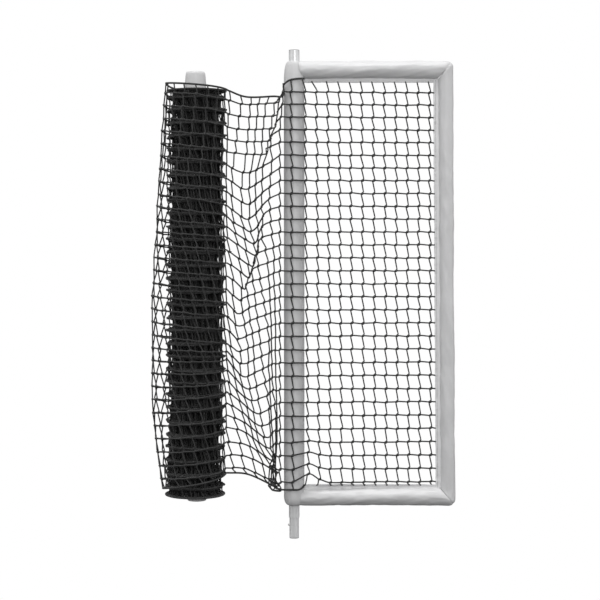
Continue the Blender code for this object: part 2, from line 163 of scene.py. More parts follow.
def cover_material(name, level):
    """Coated fabric: a fine plain weave under a satin film, a little soiled."""
    made, tree, shader = node_material(name, grey(level), 0.42)
    place = object_space(tree)
    soil = texture(tree, place, Scale=9.0, Detail=5.0, Roughness=0.6)
    dark, light = level * 0.95, level * 1.05
    ramp_to(tree, shader.inputs["Base Color"], soil.outputs["Fac"], 0.25, 0.75,
            (dark, dark, dark * 1.008), (light, light, light * 1.008))
    ramp_to(tree, shader.inputs["Roughness"], soil.outputs["Fac"], 0.3, 0.7, grey(0.38), grey(0.5))
    weave = texture(tree, place, "Voronoi", Scale=820.0, Randomness=0.15)
    puckers = texture(tree, place, Scale=55.0, Detail=3.0)
    bump(tree, shader, (
        (weave.outputs["Distance"], 0.25, 0.0004),
        (puckers.outputs["Fac"], 0.25, 0.002),
    ))
    shader.inputs["Coat Weight"].default_value = 0.12
    shader.inputs["Coat Roughness"].default_value = 0.35
    return made


def twine_material(name, level, strands):
    """Twisted black twine. Each strand stores its own twist as (cos, sin, along)."""
    made, tree, shader = node_material(name, grey(level), 0.62)
    stored = tree.nodes.new("ShaderNodeAttribute")
    stored.attribute_name = "twist"
    split = tree.nodes.new("ShaderNodeSeparateXYZ")
    tree.links.new(stored.outputs["Vector"], split.inputs["Vector"])

    def maths(kind, first, second=None):
        node = tree.nodes.new("ShaderNodeMath")
        node.operation = kind
        for socket, value in zip(node.inputs, (first, second)):
            if isinstance(value, (int, float)):
                socket.default_value = value
            elif value is not None:
                tree.links.new(value, socket)
        return node.outputs[0]

    turns = maths("MULTIPLY", split.outputs["Z"], strands)
    across = maths("MULTIPLY", split.outputs["X"], maths("COSINE", turns))
    upward = maths("MULTIPLY", split.outputs["Y"], maths("SINE", turns))
    wave = maths("ADD", across, upward)
    lay = maths("MULTIPLY", wave, wave)
    fuzz = texture(tree, object_space(tree), Scale=900.0, Detail=3.0)
    wear = texture(tree, object_space(tree), Scale=14.0, Detail=2.0)
    ramp_to(tree, shader.inputs["Base Color"], wear.outputs["Fac"], 0.3, 0.7,
            grey(level * 0.75), grey(level * 1.3))
    bump(tree, shader, (
        (lay, 0.6, 0.0008),
        (fuzz.outputs["Fac"], 0.3, 0.0003),
    ))
    shader.inputs["Sheen Weight"].default_value = 0.15
    shader.inputs["Sheen Roughness"].default_value = 0.5
    return made


def tube_material():
    """Satin galvanised tube: fine drawing lines along it. Its colour is kept near white on a mostly
    non-metal shader, with light and dark streaks along the tube: painted reflection of the studio's
    light.
    """
    made, tree, shader = node_material("galvanised_satin_painted_reflection", grey(0.85), 0.32, 0.12)
    lines = texture(tree, object_space(tree, (900, 900, 6)), Scale=1.0, Detail=3.0)
    painted_reflection_streaks = texture(tree, object_space(tree, (75, 75, 0.6)), Scale=1.0, Detail=2.0)
    # painted reflection: the colour runs from grey to near white in streaks along the tube, standing
    # in for the light bands that the tube reflects
    ramp_to(tree, shader.inputs["Base Color"], painted_reflection_streaks.outputs["Fac"], 0.4, 0.6,
            (0.76, 0.765, 0.77), (0.98, 0.985, 0.99))
    ramp_to(tree, shader.inputs["Roughness"], lines.outputs["Fac"], 0.3, 0.7, grey(0.2), grey(0.34))
    bump(tree, shader, ((lines.outputs["Fac"], 0.08, 0.0003),))
    return made


def moulded_material():
    """Grey polyethylene with a fine moulded grain."""
    made, tree, shader = node_material("plug_polyethylene", grey(0.55), 0.5)
    grain = texture(tree, object_space(tree), Scale=700.0, Detail=2.0)
    ramp_to(tree, shader.inputs["Base Color"], grain.outputs["Fac"], 0.3, 0.7, grey(0.5), grey(0.58))
    bump(tree, shader, ((grain.outputs["Fac"], 0.15, 0.0002),))
    return made


def pucker_shade_thread_material():
    """Polyester sewing thread, coloured dark grey as painted shade: its dotted line stands in for the
    shade of the puckers between the stitches.
    """
    # painted shade: the thread's dark grey draws the shaded puckers along the hem's stitch line
    made, tree, shader = node_material("sewing_thread_painted_shade", grey(0.2), 0.6)
    fibre = texture(tree, object_space(tree), Scale=1500.0, Detail=1.0)
    ramp_to(tree, shader.inputs["Base Color"], fibre.outputs["Fac"], 0.3, 0.7, grey(0.16), grey(0.26))
    bump(tree, shader, ((fibre.outputs["Fac"], 0.4, 0.0002),))
    return made


def steel_material():
    """Bare spring steel, faintly stained."""
    made, tree, shader = node_material("spring_steel_finish", grey(0.5), 0.33, 1.0)
    stain = texture(tree, object_space(tree), Scale=300.0, Detail=4.0)
    ramp_to(tree, shader.inputs["Roughness"], stain.outputs["Fac"], 0.3, 0.7, grey(0.25), grey(0.42))
    ramp_to(tree, shader.inputs["Base Color"], stain.outputs["Fac"], 0.3, 0.7, grey(0.46), grey(0.6))
    return made


def foam_material():
    """Dark closed-cell foam."""
    made, tree, shader = node_material("closed_cell_foam_finish", grey(0.1), 0.9)
    cells = texture(tree, object_space(tree), "Voronoi", Scale=500.0)
    ramp_to(tree, shader.inputs["Base Color"], cells.outputs["Distance"], 0.0, 0.6,
            grey(0.07), grey(0.14))
    bump(tree, shader, ((cells.outputs["Distance"], 0.5, 0.0006),))
    return made


# ---- meshes

def piece_from(name, verts, faces, finish):
    """A smooth mesh from arrays: verts (n, 3) and a list of (m, k) index arrays."""
    mesh = bpy.data.meshes.new(name)
    loops = np.concatenate([f.ravel() for f in faces]).astype(np.int32)
    sizes = np.concatenate([np.full(len(f), f.shape[1]) for f in faces]).astype(np.int32)
    starts = np.concatenate([[0], np.cumsum(sizes)[:-1]]).astype(np.int32)
    mesh.vertices.add(len(verts))
    mesh.vertices.foreach_set("co", np.asarray(verts, np.float32).ravel())
    mesh.loops.add(len(loops))
    mesh.loops.foreach_set("vertex_index", loops)
    mesh.polygons.add(len(sizes))
    mesh.polygons.foreach_set("loop_start", starts)
    mesh.polygons.foreach_set("loop_total", sizes)
    mesh.update(calc_edges=True)
    mesh.validate()
    mesh.shade_smooth()
    mesh.materials.append(finish)
    made = bpy.data.objects.new(name, mesh)
    bpy.context.collection.objects.link(made)
    return made


def spline(points, shares):
    """A smooth curve through points (along axis 0), at the given shares of each interval."""
    before = 2 * points[:1] - points[1:2]
    after = 2 * points[-1:] - points[-2:-1]
    p = np.concatenate([before, points, after])
    a, b, c, d = p[:-3], p[1:-2], p[2:-1], p[3:]
    samples = []
    for t in shares:
        linear = 2 * b + (c - a) * t
        samples.append(0.5 * (linear + (2 * a - 5 * b + 4 * c - d) * t ** 2
                              + (3 * b - a - 3 * c + d) * t ** 3))
    return np.stack(samples, axis=1)


def smooth_line(points, shares):
    """A smooth line through points that ends on the last of them."""
    return np.concatenate([spline(points, shares).reshape(-1, 3), points[-1:]])


def reach_along(path):
    """How far along a path each of its points is."""
    return np.concatenate([[0], np.cumsum(np.linalg.norm(np.diff(path, axis=0), axis=1))])


def circle_steps(sides):
    """The cosine and sine of each step round a circle."""
    angles = [2 * math.pi * i / sides for i in range(sides)]
    return [(math.cos(angle), math.sin(angle)) for angle in angles]


def unit(vectors):
    length = np.linalg.norm(vectors, axis=-1, keepdims=True)
    return vectors / np.maximum(length, 1e-9)


def knot_shape(fineness):
    """A unit ball of triangles, for one knot."""
    bm = bmesh.new()
    bmesh.ops.create_icosphere(bm, subdivisions=fineness, radius=1.0)
    verts = np.array([v.co[:] for v in bm.verts])
    faces = np.array([[v.index for v in f.verts] for f in bm.faces])
    bm.free()
    return verts, faces


KNOTS = {1: knot_shape(1), 2: knot_shape(2)}
KNOT_SIZE = (7.6 * MM, 4.8 * MM, 4.9 * MM)


class Twine:
    """Gathers round strands and knots, then makes one piece of them."""

    def __init__(self):
        self.verts = []
        self.faces = []
        self.twist = []
        self.count = 0

    def strand(self, path, radius, sides, guide):
        """A capped round strand along path. The guide is never along the path."""
        path = np.asarray(path, float)
        along = unit(np.gradient(path, axis=0))
        side = unit(np.cross(along, guide))
        up = np.cross(side, along)
        angle = 2 * np.pi * np.arange(sides) / sides
        cos, sin = np.cos(angle)[None, :, None], np.sin(angle)[None, :, None]
        ring = radius * (cos * side[:, None] + sin * up[:, None])
        reach = reach_along(path)
        twist = np.empty(ring.shape)
        twist[..., 0] = np.cos(angle)
        twist[..., 1] = np.sin(angle)
        twist[..., 2] = reach[:, None]
        index = self.count + np.arange(len(path) * sides).reshape(len(path), sides)
        low, high = index[:-1], index[1:]
        quads = np.stack([low, high, np.roll(high, -1, 1), np.roll(low, -1, 1)], axis=-1)
        self.faces.append(quads.reshape(-1, 4))
        self.faces.append(index[:1])
        self.faces.append(index[-1:, ::-1])
        self.verts.append((path[:, None] + ring).reshape(-1, 3))
        self.twist.append(twist.reshape(-1, 3))
        self.count += len(path) * sides

    def knots(self, places, level, upright, hand, fineness):
        """Lumps at places (n, 3), slanted between the level and upright directions (n, 3)."""
        ball, tris = KNOTS[fineness]
        count = len(places)
        lay = unit(level * 0.9 - upright * 0.42 * hand)
        out = unit(np.cross(level, upright))
        rise = np.cross(out, lay)
        spread = 1 + 0.12 * RNG.standard_normal((count, 3))
        lumps = 1 + 0.14 * np.sin(4 * ball[:, 0] + 3 * ball[:, 1] + 5 * ball[:, 2])
        ball = ball * lumps[:, None]
        half = np.asarray(KNOT_SIZE) * np.clip(spread, 0.75, 1.25)
        made = (places[:, None]
                + (ball[None, :, :1] * half[:, None, :1]) * lay[:, None]
                + (ball[None, :, 1:2] * half[:, None, 1:2]) * rise[:, None]
                + (ball[None, :, 2:] * half[:, None, 2:]) * out[:, None])
        shift = self.count + len(ball) * np.arange(count)[:, None, None]
        self.faces.append((tris[None] + shift).reshape(-1, 3))
        self.verts.append(made.reshape(-1, 3))
        self.twist.append(np.zeros((count * len(ball), 3)))
        self.count += count * len(ball)

    def piece(self, name, finish):
        made = piece_from(name, np.concatenate(self.verts), self.faces, finish)
        stored = made.data.attributes.new("twist", "FLOAT_VECTOR", "POINT")
        stored.data.foreach_set("vector", np.concatenate(self.twist).astype(np.float32).ravel())
        return made


FINE = {"sides": 6, "shares": (0.0, 0.14, 0.38, 0.62, 0.86), "knot": 2}
MIDDLE = {"sides": 5, "shares": (0.0, 0.16, 0.5, 0.84), "knot": 1}
COARSE = {"sides": 4, "shares": (0.0, 0.5), "knot": 1}


def bar_lean(shares, hand):
    """How far an upright bar stands beside its knots, at each share of its length."""
    return hand * np.array([t - 0.5 for t in shares])[None, :, None] * 2 * LEAN


def weave(twine, grid, detail, columns, hand, pinch=None):
    """Knotted netting over a grid of knots (rows, columns, 3) whose end rows are the borders.

    hand is 1 where the columns are counted to the right, seen from the net's front, and -1
    where they are counted to the left. pinch gives each upright bar a pull (rows - 1, columns)
    towards the roll's axis.
    """
    shares = detail["shares"]
    sides = detail["sides"]
    level = unit(np.gradient(grid, axis=1))
    upright = unit(np.gradient(grid, axis=0))
    rows = np.arange(1, len(grid) - 1)
    step = hand * np.array([0.5 - t for t in shares])[None, :, None] * 2.4 * MM
    for r in rows:
        path = spline(grid[r], shares) - upright[r][:-1, None] * step
        path = np.concatenate([path.reshape(-1, 3), grid[r][-1:]])
        twine.strand(path, TWINE_R, sides, (0.0, 0.0, 1.0))
    for c in columns:
        knots = grid[:, c]
        path = spline(knots, shares) + level[:-1, c][:, None] * bar_lean(shares, hand)
        if pinch is not None:
            inward = unit((np.array(ROLL_AXIS) - path) * (1, 1, 0))
            hollow = np.array([math.sin(math.pi * t) ** 0.35 for t in shares])[None, :, None]
            path = path + inward * hollow * pinch[:, c][:, None, None]
        path = np.concatenate([path.reshape(-1, 3), knots[-1:]])
        twine.strand(path, UPRIGHT_R, sides, (0.0, 1.0, 0.0))
    picked = np.ix_(rows, np.array(list(columns)))
    twine.knots(grid[picked].reshape(-1, 3), level[picked].reshape(-1, 3),
                upright[picked].reshape(-1, 3), hand, detail["knot"])


# ---- where the net lies

def row_z(row):
    """Height of a row of knots over the post and the wing; the meshes stretch downwards."""
    below = row - 1
    return (1783.3 - 49.3 * below - 0.0838 * below ** 2) * MM


BORDER_TOP = 1817 * MM
BORDER_BOTTOM = 206 * MM


def ring_z(row):
    """Height of a row of knots in the wound roll."""
    below = row - 1
    return (1766 - 50.9 * below - 0.04 * below ** 2) * MM


WING_MESH = 44.9                 # millimetres from column to column on the wing


def wing_grid():
    """Knots over the post's front and across the wing, with the two borders as its end rows."""
    columns = np.array([-56, -12, 43] + [88 + WING_MESH * i for i in range(11)]) * MM
    drift = np.array([0, 8] + [13] * 12) * MM       # how far each column has moved at the foot
    grid = np.empty((ROWS + 2, len(columns) + 1, 3))
    for r in range(ROWS + 2):
        z = row_z(r)
        share = (z - BOTTOM_RAIL_Z) / (TOP_RAIL_Z - BOTTOM_RAIL_Z)
        stile_x = STILE_BOTTOM_X + (STILE_TOP_X - STILE_BOTTOM_X) * share
        end = stile_x - STILE_R - 17 * MM
        x = np.append(columns + drift * (1 - share), end)
        edge = min(r, ROWS + 1 - r) / 2.5
        calm = min(1.0, 0.62 + 0.38 * edge)
        y = np.where(x < 60 * MM, FRONT_Y, FRONT_Y * 0.86 * calm * (end - x) / (end - 60 * MM))
        grid[r] = np.stack([x, y, np.full(len(x), z)], axis=-1)
    grid[:, 2, 1] = FRONT_Y + 1.2 * MM
    grid[1:-1, 1:-1] += RNG.normal(0, 0.9 * MM, grid[1:-1, 1:-1].shape) * (1, 0.4, 1)
    # the upper left corner slips towards the post's far side, and the lowest rows ride up
    grid[0, :3, 2] = np.array([1808, 1830, 1836]) * MM
    grid[0, :3, 0] = np.array([-42, -8, 36]) * MM
    grid[1:4, 0, 0] = np.array([-43, -46, -52]) * MM
    for lift, r in ((38, ROWS), (23, ROWS - 1), (14, ROWS - 2), (8, ROWS - 3)):
        grid[r, 2, 2] += lift * MM
        grid[r, 2, 0] += 2 * MM
        grid[r, 3, 2] += 0.35 * lift * MM
        grid[r, :2, 2] += 0.15 * lift * MM
    grid[-1, :3, 2] = np.array([203, 202.5, 215]) * MM
    grid[-1, :3, 0] = np.array([-56, -8, 38]) * MM
    # the ends that are sewn into the hems
    grid[0, 3:, 2] = TOP_HEM_LOW.z + 4 * MM
    grid[0, 3:, 1] = 0
    grid[0, 3, 0] -= 14 * MM
    grid[-1, 3:, 2] = BOTTOM_HEM_HIGH.z - 4 * MM
    grid[-1, 3:, 1] = 0
    grid[-1, 3, 0] -= 12 * MM
    return grid


# The border ropes over the post, as (x, z) in millimetres
POST_BORDERS = {
    "top": ((-43, 1808), (-34, 1818), (-17, 1829), (8, 1834), (33, 1836), (39, 1837)),
    "bottom": ((-56, 203), (-30, 202.5), (0, 202.5), (20, 203.5), (33, 209), (40, 217)),
}

# The drape of the loose net. For some rows: where it turns beside the post, its lowest point,
# a point on the way up to the roll, each as (x, rise above the row at the post), and the rise
# at the roll, all in millimetres. The rows between are read off between these.
DRAPE = {
    0: ((-45, -50), (-82, -51), (-190, -46), -20),
    1: ((-58, -26), (-72, -45), (-190, -41), -27),
    3: ((-72, -22), (-84, -46), (-185, -44), -34),
    5: ((-108, -24), (-110, -45), (-195, -42), -36),
    6: ((-107, -37), (-177, -65), (-228, -58), -36),
    7: ((-120, -45), (-184, -81), (-232, -65), -42),
    9: ((-106, -30), (-178, -102), (-232, -78), -50),
    10: ((-112, -25), (-166, -99), (-225, -75), -42),
    12: ((-137, -30), (-148, -93), (-215, -60), -22),
    14: ((-161, -42), (-183, -80), (-228, -50), -24),
    16: ((-202, -58), (-215, -72), (-245, -50), -25),
    17: ((-164, -38), (-225, -73), (-250, -52), -28),
    20: ((-132, -28), (-218, -68), (-248, -55), -35),
    22: ((-115, -20), (-196, -64), (-235, -40), 6),
    24: ((-122, -30), (-170, -51), (-220, -25), 24),
    26: ((-87, -24), (-138, -39), (-205, 0), 42),
    28: ((-75, -12), (-100, -19), (-196, 27), 48),
    30: ((-100, -3), (-62, -14), (-190, 39), 42),
    32: ((-105, -3), (-55, -9), (-180, 44), 49),
}
SPAN_LENGTH = 311 * MM           # from the post to the roll, along a level row
SPAN_END = Vector((-268.5, 52.0, 0)) * MM
FOLD_DEPTH = 16 * MM
LOOP_FRONT_R = 127 * MM
LOOP_START = 350                 # degrees round the roll
LOOP_END = 95


def drape_row(row):
    """The loose net's line at one row, as 5 points (x, z), from the post to the roll."""
    keys = sorted(DRAPE)
    flat = {k: np.array([*v[0], *v[1], *v[2], v[3]], float) for k, v in DRAPE.items()}
    values = [np.interp(row, keys, [flat[k][i] for k in keys]) for i in range(7)]
    start_z = {0: BORDER_TOP / MM, ROWS + 1: BORDER_BOTTOM / MM}.get(row, row_z(row) / MM)
    start_x = float(np.interp(row, (0, 1, 2, 3, 4), (-42, -43, -46, -52, -56)))
    x = [start_x, values[0], values[2], values[4], SPAN_END.x / MM]
    z = [0, values[1], values[3], values[5], values[6]]
    return np.array(x) * MM, (np.array(z) + start_z) * MM


def roll_shift(z):
    """The wound net has slipped a little sideways, more towards its foot."""
    return float(np.interp(z, (166 * MM, 1800 * MM), (-8 * MM, 4 * MM)))


def path_length(path):
    return np.linalg.norm(np.diff(path, axis=0), axis=1).sum()


def swell(path, direction, shape, wanted):
    """Adds shape along a direction to a path, just enough to give it the wanted length."""
    low, high = 0.0, 150 * MM
    for _ in range(14):
        middle = (low + high) / 2
        made = path + direction * middle * shape[:, None]
        low, high = (middle, high) if path_length(made) < wanted else (low, middle)
    return made


def span_path(row):
    """One row of the loose net. Where its line across is short the net swings back and forth
    in depth, and what slides down beside the post gathers in a pocket behind the post's edge."""
    x, z = drape_row(row)
    x[-1] += roll_shift(z[-1])
    bends = np.stack([x, np.zeros(5), z], axis=-1)
    path = smooth_line(bends, np.linspace(0, 1, 24, endpoint=False))
    reach = reach_along(path)
    share = reach / reach[-1]
    path[:, 1] = FRONT_Y + (SPAN_END.y - FRONT_Y) * (3 * share ** 2 - 2 * share ** 3)
    fold = max(0.0, 1 - abs(bends[1, 0] - bends[2, 0]) / (40 * MM))
    path[:, 1] += FOLD_DEPTH * fold * (np.exp(-((share - 0.16) / 0.07) ** 2)
                                       - np.exp(-((share - 0.3) / 0.09) ** 2))
    depth = np.array((0.0, 1.0, 0.0))
    path = swell(path, -depth, np.sin(2 * np.pi * share), SPAN_LENGTH)
    pocket = np.sin(np.pi * np.clip((share - 0.02) / 0.2, 0, 1)) ** 2
    slack = float(np.interp(row, (0, 7, 9, ROWS + 1), (36, 0, 0, 205))) * MM
    return swell(path, depth, pocket, SPAN_LENGTH + slack)


def bulge(z):
    """How far the loose outer turn reaches on the far side, at a height."""
    heights = np.array([180, 260, 380, 480, 620, 960, 1170, 1380, 1640, 1820]) * MM
    reach = np.array([128, 142, 160, 171, 176, 176, 165, 152, 136, 122]) * MM
    return float(np.interp(z, heights, reach))


def loop_path(row, near_z):
    """One row of the slack turn, from the roll's near side round its front to its back."""
    far_z = {0: 1826 * MM, ROWS + 1: 192 * MM}.get(row, row_z(row) + 3 * MM)
    back_z = {0: ROLL_HIGH.z, ROWS + 1: ROLL_LOW.z}.get(row, ring_z(row))
    path = []
    for degrees in range(LOOP_START, LOOP_END - 1, -5):
        angle = math.radians(degrees)
        z = float(np.interp(degrees, (95, 185, 355), (back_z, far_z, near_z)))
        out = LOOP_FRONT_R
        if 90 < degrees < 270:
            out += (bulge(z) - LOOP_FRONT_R) * math.sin(math.radians(degrees - 90)) ** 1.5
        path.append(ROLL_AXIS + Vector((out * math.cos(angle) + roll_shift(z),
                                        LOOP_FRONT_R * math.sin(angle), z)))
    return np.array(path)


class LooseRow:
    """A whole row of the loose net: across to the roll, then round it, with its knots."""

    def __init__(self, row):
        span = span_path(row)
        self.path = np.concatenate([span, loop_path(row, span[-1, 2])])
        self.reach = reach_along(self.path)
        self.span = self.reach[len(span) - 1]
        self.count = int(self.reach[-1] / MESH) + 1
        self.shake = RNG.normal(0, 1.1 * MM, (self.count + 2, 3))
        self.shake[0] = 0
        if row in (0, ROWS + 1):
            self.shake[:] = 0

    def at(self, s):
        s = np.asarray(s, float)
        place = np.stack([np.interp(s, self.reach, self.path[:, i]) for i in range(3)], axis=-1)
        knot = s / MESH
        shake = [np.interp(knot, np.arange(len(self.shake)), self.shake[:, i]) for i in range(3)]
        return place + np.stack(shake, axis=-1)

    def knots(self):
        return self.at(MESH * np.arange(self.count))

    def level(self):
        s = MESH * np.arange(self.count)
        return unit(self.at(s + 3 * MM) - self.at(s - 3 * MM))


def loose_level_bars(rows, hanging, slack):
    """The level bars of the loose net, cut where the net meets the roll."""
    shares = FINE["shares"]
    for row in rows[1:-1]:
        s = np.array([(k + t) * MESH for k in range(row.count) for t in shares])
        step = np.array([0.5 - t for _ in range(row.count) for t in shares]) * 2.4 * MM
        s, step = s[s < row.reach[-1]], step[s < row.reach[-1]]
        path = row.at(s) - step[:, None] * (0.0, 0.0, 1.0)
        near = s < row.span - 2 * MM
        far = s > row.span + 2 * MM
        seam = row.at([row.span])
        rest = np.concatenate([seam, path[far], row.at([row.reach[-1]])])
        for twine, line in ((hanging, np.concatenate([path[near], seam])), (slack, rest)):
            twine.strand(line, TWINE_R, FINE["sides"], (0.0, 0.0, 1.0))


def loose_column(path, line, hung, hanging, slack):
    """One column's upright bars, as a strand for each stretch that lies in the same piece."""
    start = 0
    for i in range(1, len(line)):
        here = hung[i] or hung[i - 1]
        over = i == len(line) - 1 or (hung[i + 1] or hung[i]) != here
        if over:
            strand = path[start:i].reshape(-1, 3)
            stop = path[i][:1] if i < len(path) else np.array(line[-1:])
            twine = hanging if here else slack
            twine.strand(np.concatenate([strand, stop]), UPRIGHT_R, FINE["sides"],
                         (0.0, 1.0, 0.0))
            start = i


def loose_upright_bars(rows, knots, level, hanging, slack):
    """The upright bars of the loose net. A row may have fewer knots than its neighbours, so a
    column is taken in unbroken runs of rows, each carried on to the next row's own end."""
    for k in range(max(row.count for row in rows)):
        have = [r for r in range(len(rows)) if rows[r].count > k]
        for first in [r for r in have if r - 1 not in have]:
            last = first
            while last + 1 in have:
                last += 1
            line = [knots[r][k] for r in range(first, last + 1)]
            lean = [level[r][k] for r in range(first, last + 1)]
            hung = [k * MESH <= rows[r].span for r in range(first, last + 1)]
            if last < len(rows) - 1:
                line.append(rows[last + 1].path[-1])
                lean.append(lean[-1])
                hung.append(False)
            if first > 0:
                line.insert(0, rows[first - 1].path[-1])
                lean.insert(0, lean[0])
                hung.insert(0, False)
            if len(line) < 2:
                continue
            path = spline(np.array(line), FINE["shares"])
            path = path + np.array(lean)[:-1, None] * bar_lean(FINE["shares"], -1)
            loose_column(path, line, hung, hanging, slack)


def weave_loose(rows, hanging, slack):
    """Knots the loose net: what lies before the roll goes in hanging, the rest in slack."""
    knots = [row.knots() for row in rows]
    level = [row.level() for row in rows]
    loose_level_bars(rows, hanging, slack)
    loose_upright_bars(rows, knots, level, hanging, slack)
    for r in range(1, len(rows) - 1):
        count = rows[r].count
        upright = np.empty((count, 3))
        for k in range(count):
            other = knots[r + 1] if len(knots[r + 1]) > k else knots[r - 1]
            way = 1 if len(knots[r + 1]) > k else -1
            upright[k] = way * (other[min(k, len(other) - 1)] - knots[r][k])
        near = MESH * np.arange(count) <= rows[r].span
        for twine, chosen in ((hanging, near), (slack, ~near)):
            twine.knots(knots[r][chosen], level[r][chosen], unit(upright[chosen]), -1,
                        FINE["knot"])


WOUND_TURNS = 8
WOUND_OUTER_R = 120.5 * MM
TURN_STEP = 4.6 * MM             # how much smaller the radius gets with each turn
WOUND_START = math.radians(95)


def wound_place(turned):
    """Radius and angle of the wound net after it has turned this far inwards."""
    return WOUND_OUTER_R - TURN_STEP * turned / (2 * math.pi), WOUND_START - turned


def wound_columns():
    """How far the wound net has turned at each column of knots."""
    turned = [0.0]
    while turned[-1] < WOUND_TURNS * 2 * math.pi:
        turned.append(turned[-1] + MESH / wound_place(turned[-1])[0])
    return turned


def wound_grid(turned):
    """Knots of the wound net. The rows of all its turns bunch at nearly the same heights."""
    waves = RNG.uniform(0, 2 * math.pi, ROWS + 2)
    grid = np.empty((ROWS + 2, len(turned), 3))
    for c, turn in enumerate(turned):
        radius, angle = wound_place(turn)
        for r in range(ROWS + 2):
            z = {0: ROLL_HIGH.z - 3 * MM, ROWS + 1: ROLL_LOW.z + 3 * MM}.get(r, ring_z(r))
            if 0 < r <= ROWS:
                z += 4.5 * MM * math.sin(0.83 * turn + waves[r]) + RNG.normal(0, 1.3 * MM)
            wide = radius + RNG.normal(0, 0.9 * MM)
            skew = angle + RNG.normal(0, 0.02)
            grid[r, c] = ROLL_AXIS + Vector((wide * math.cos(skew) + roll_shift(z),
                                             wide * math.sin(skew), z))
    return grid


def wound_pinch(turned):
    """Most upright bars lie deep in the roll between their knots; a few stay further out."""
    radius = np.array([wound_place(turn)[0] for turn in turned])
    deep = RNG.uniform(0.55, 1.0, (ROWS + 1, len(turned)))
    out = RNG.random((ROWS + 1, len(turned))) < 0.42
    share = np.where(out, deep * 0.3, deep)
    return share * np.maximum(radius - 80 * MM, 0)[None]


# ---- nets

def wing_net(finish, rope):
    """The net over the post's front and across the wing, with its two borders on the post."""
    grid = wing_grid()
    twine = Twine()
    weave(twine, grid, FINE, range(1, grid.shape[1] - 1), 1)
    net = twine.piece("wing_net", finish)
    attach(net, "frame")
    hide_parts("panel_net", "post_net")
    for place, bends in POST_BORDERS.items():
        path = np.array([(x, FRONT_Y / MM + 3 * max(0, x - 30), z) for x, z in bends])
        made = border_piece(f"post_border_{place}", path * MM, rope)
        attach(made, "frame")
        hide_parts(f"post_net_rope_{place}")


def border_piece(name, path, rope):
    """A border rope along a path."""
    border = Twine()
    smooth = smooth_line(path, np.linspace(0, 1, 5, endpoint=False))
    border.strand(smooth, ROPE_R, 8, (0.0, 0.0, 1.0))
    made = border.piece(name, rope)
    return made


def loose_nets(finish, rope):
    """The hanging net between the post and the roll, and its slack turn round the roll."""
    rows = [LooseRow(r) for r in range(ROWS + 2)]
    hanging, slack = Twine(), Twine()
    weave_loose(rows, hanging, slack)
    borders = (("top", rows[0]), ("bottom", rows[-1]))

    net = hanging.piece("hanging_net", finish)
    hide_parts("loose_net")
    ropes = []
    for place, row in borders:
        path = row.at(np.linspace(0, row.span, 30))
        ropes.append(border_piece(f"hanging_border_{place}", path, rope))
    for made in (net, *ropes):
        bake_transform(made)

    net = slack.piece("slack_turn_net", finish)
    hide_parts("outer_net_turn")
    ropes = []
    for place, row in borders:
        path = row.at(np.linspace(row.span, row.reach[-1], 40))
        made = border_piece(f"slack_turn_border_{place}", path, rope)
        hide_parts(f"loose_net_rope_{place}")
        ropes.append(made)
    for made in (net, *ropes):
        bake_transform(made)


def wound_nets(finish, rope):
    """The turns on the roll, in three pieces, with a border rope at each end."""
    turned = wound_columns()
    grid = wound_grid(turned)
    count = len(turned) - 1
    bounds = [0, count // 3, 2 * count // 3, count]
    details = (MIDDLE, MIDDLE, COARSE)
    pinch = wound_pinch(turned)
    for place, row in (("top", 0), ("bottom", -1)):
        made = border_piece(f"wound_border_{place}", grid[row], rope)
        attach(made, "net_roll")
    for number, detail in enumerate(details):
        first, last = bounds[number], bounds[number + 1]
        part = grid[:, first:last + 1]
        twine = Twine()
        weave(twine, part, detail, range(0, last - first), -1, pinch[:, first:last + 1])
        net = twine.piece(f"wound_net_{number + 1}", finish)
        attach(net, "net_roll")
        if number == 0:
            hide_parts("net_roll")


CORE_RINGS = (50, 57, 64, 71, 78)            # radii in millimetres
CORE_LAYERS = ((78, 84), (70, 74))           # radius in millimetres, number of upright bars


def wound_core(finish):
    """The innermost turns, packed tight: upright bars side by side, and rings at each row."""
    twine = Twine()
    for radius, count in CORE_LAYERS:
        for i in range(count):
            base = 2 * math.pi * (i + 0.3 * RNG.random()) / count
            heights = [ROLL_LOW.z + 4 * MM] + [ring_z(r) for r in range(ROWS, 0, -1)]
            heights.append(ROLL_HIGH.z - 4 * MM)
            path = []
            for low, high in zip(heights, heights[1:]):
                sway = base + RNG.normal(0, 0.025)
                out = (radius + RNG.normal(0, 0.8)) * MM
                path.append((out * math.cos(sway), out * math.sin(sway), low))
                out -= 4 * MM
                path.append((out * math.cos(sway + 0.04), out * math.sin(sway + 0.04),
                             (low + high) / 2))
            path.append((*path[-2][:2], heights[-1]))
            shift = [(roll_shift(z), 0, 0) for _, _, z in path]
            place = np.array(path) + np.array(shift) + np.array(ROLL_AXIS)
            twine.strand(place, TWINE_R, 4, (0.0, 1.0, 0.0))
    circle = np.linspace(0, 2 * math.pi, 25)
    for row in range(1, ROWS + 1):
        for radius in CORE_RINGS:
            phase = RNG.uniform(0, 6)
            out = radius * MM + 1.5 * MM * np.sin(3 * circle + phase)
            z = ring_z(row) + 2.5 * MM * np.sin(2 * circle + phase)
            path = np.stack([out * np.cos(circle), out * np.sin(circle), z], axis=-1)
            twine.strand(path + np.array(ROLL_AXIS), TWINE_R, 4, (0.0, 0.0, 1.0))
    net = twine.piece("wound_core", finish)
    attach(net, "net_roll")


# ---- padding

def wrinkle(point, size, depth):
    """A soft fold height at a point, from noise stretched along the wrinkles."""
    here = Vector(point) / size
    return depth * (noise.noise(here) + 0.5 * noise.noise(here * 2.3))


